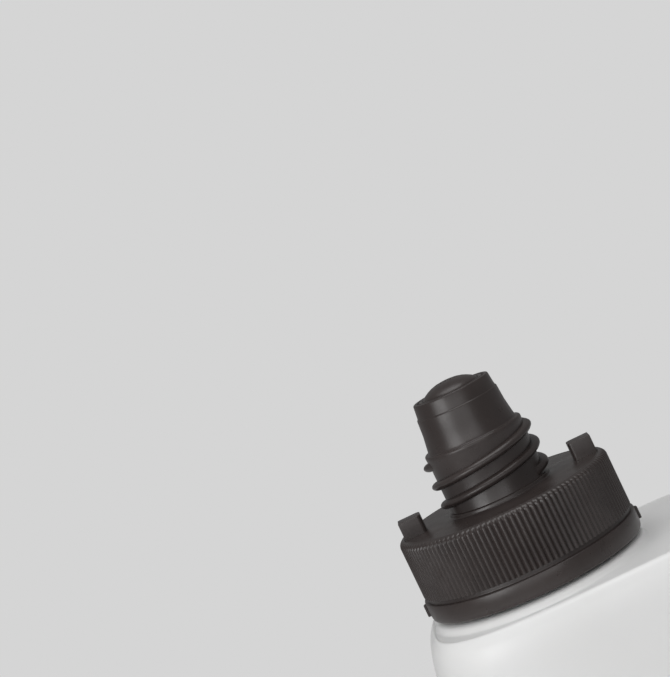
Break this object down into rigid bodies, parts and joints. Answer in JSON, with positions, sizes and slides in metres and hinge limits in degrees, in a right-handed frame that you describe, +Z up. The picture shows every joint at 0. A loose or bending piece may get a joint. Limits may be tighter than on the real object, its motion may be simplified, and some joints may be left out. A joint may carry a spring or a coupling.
{
  "type": "toilet_cleaner_bottle",
  "caption": "White toilet cleaner bottle with an offset neck and a dark brown ribbed nozzle closure, its cap off, filled with green cleaning gel",
  "frame": {"origin": "middle of the bottle's base, on the surface it stands on", "axes": "+Z up along the neck, +X to the wide end of the shoulder, away from the neck, -Y to the front"},
  "size_m": [0.092, 0.063, 0.2547],
  "materials": {
    "bottle": "satin white polyethylene",
    "closure": "satin dark brown polypropylene",
    "gel": "thick green liquid"
  },
  "bodies": {
    "root": {"bottle_shell": "bottle", "nozzle_collar": "closure", "jet_insert": "closure", "cleaner_gel": "gel"}
  },
  "joints": []
}
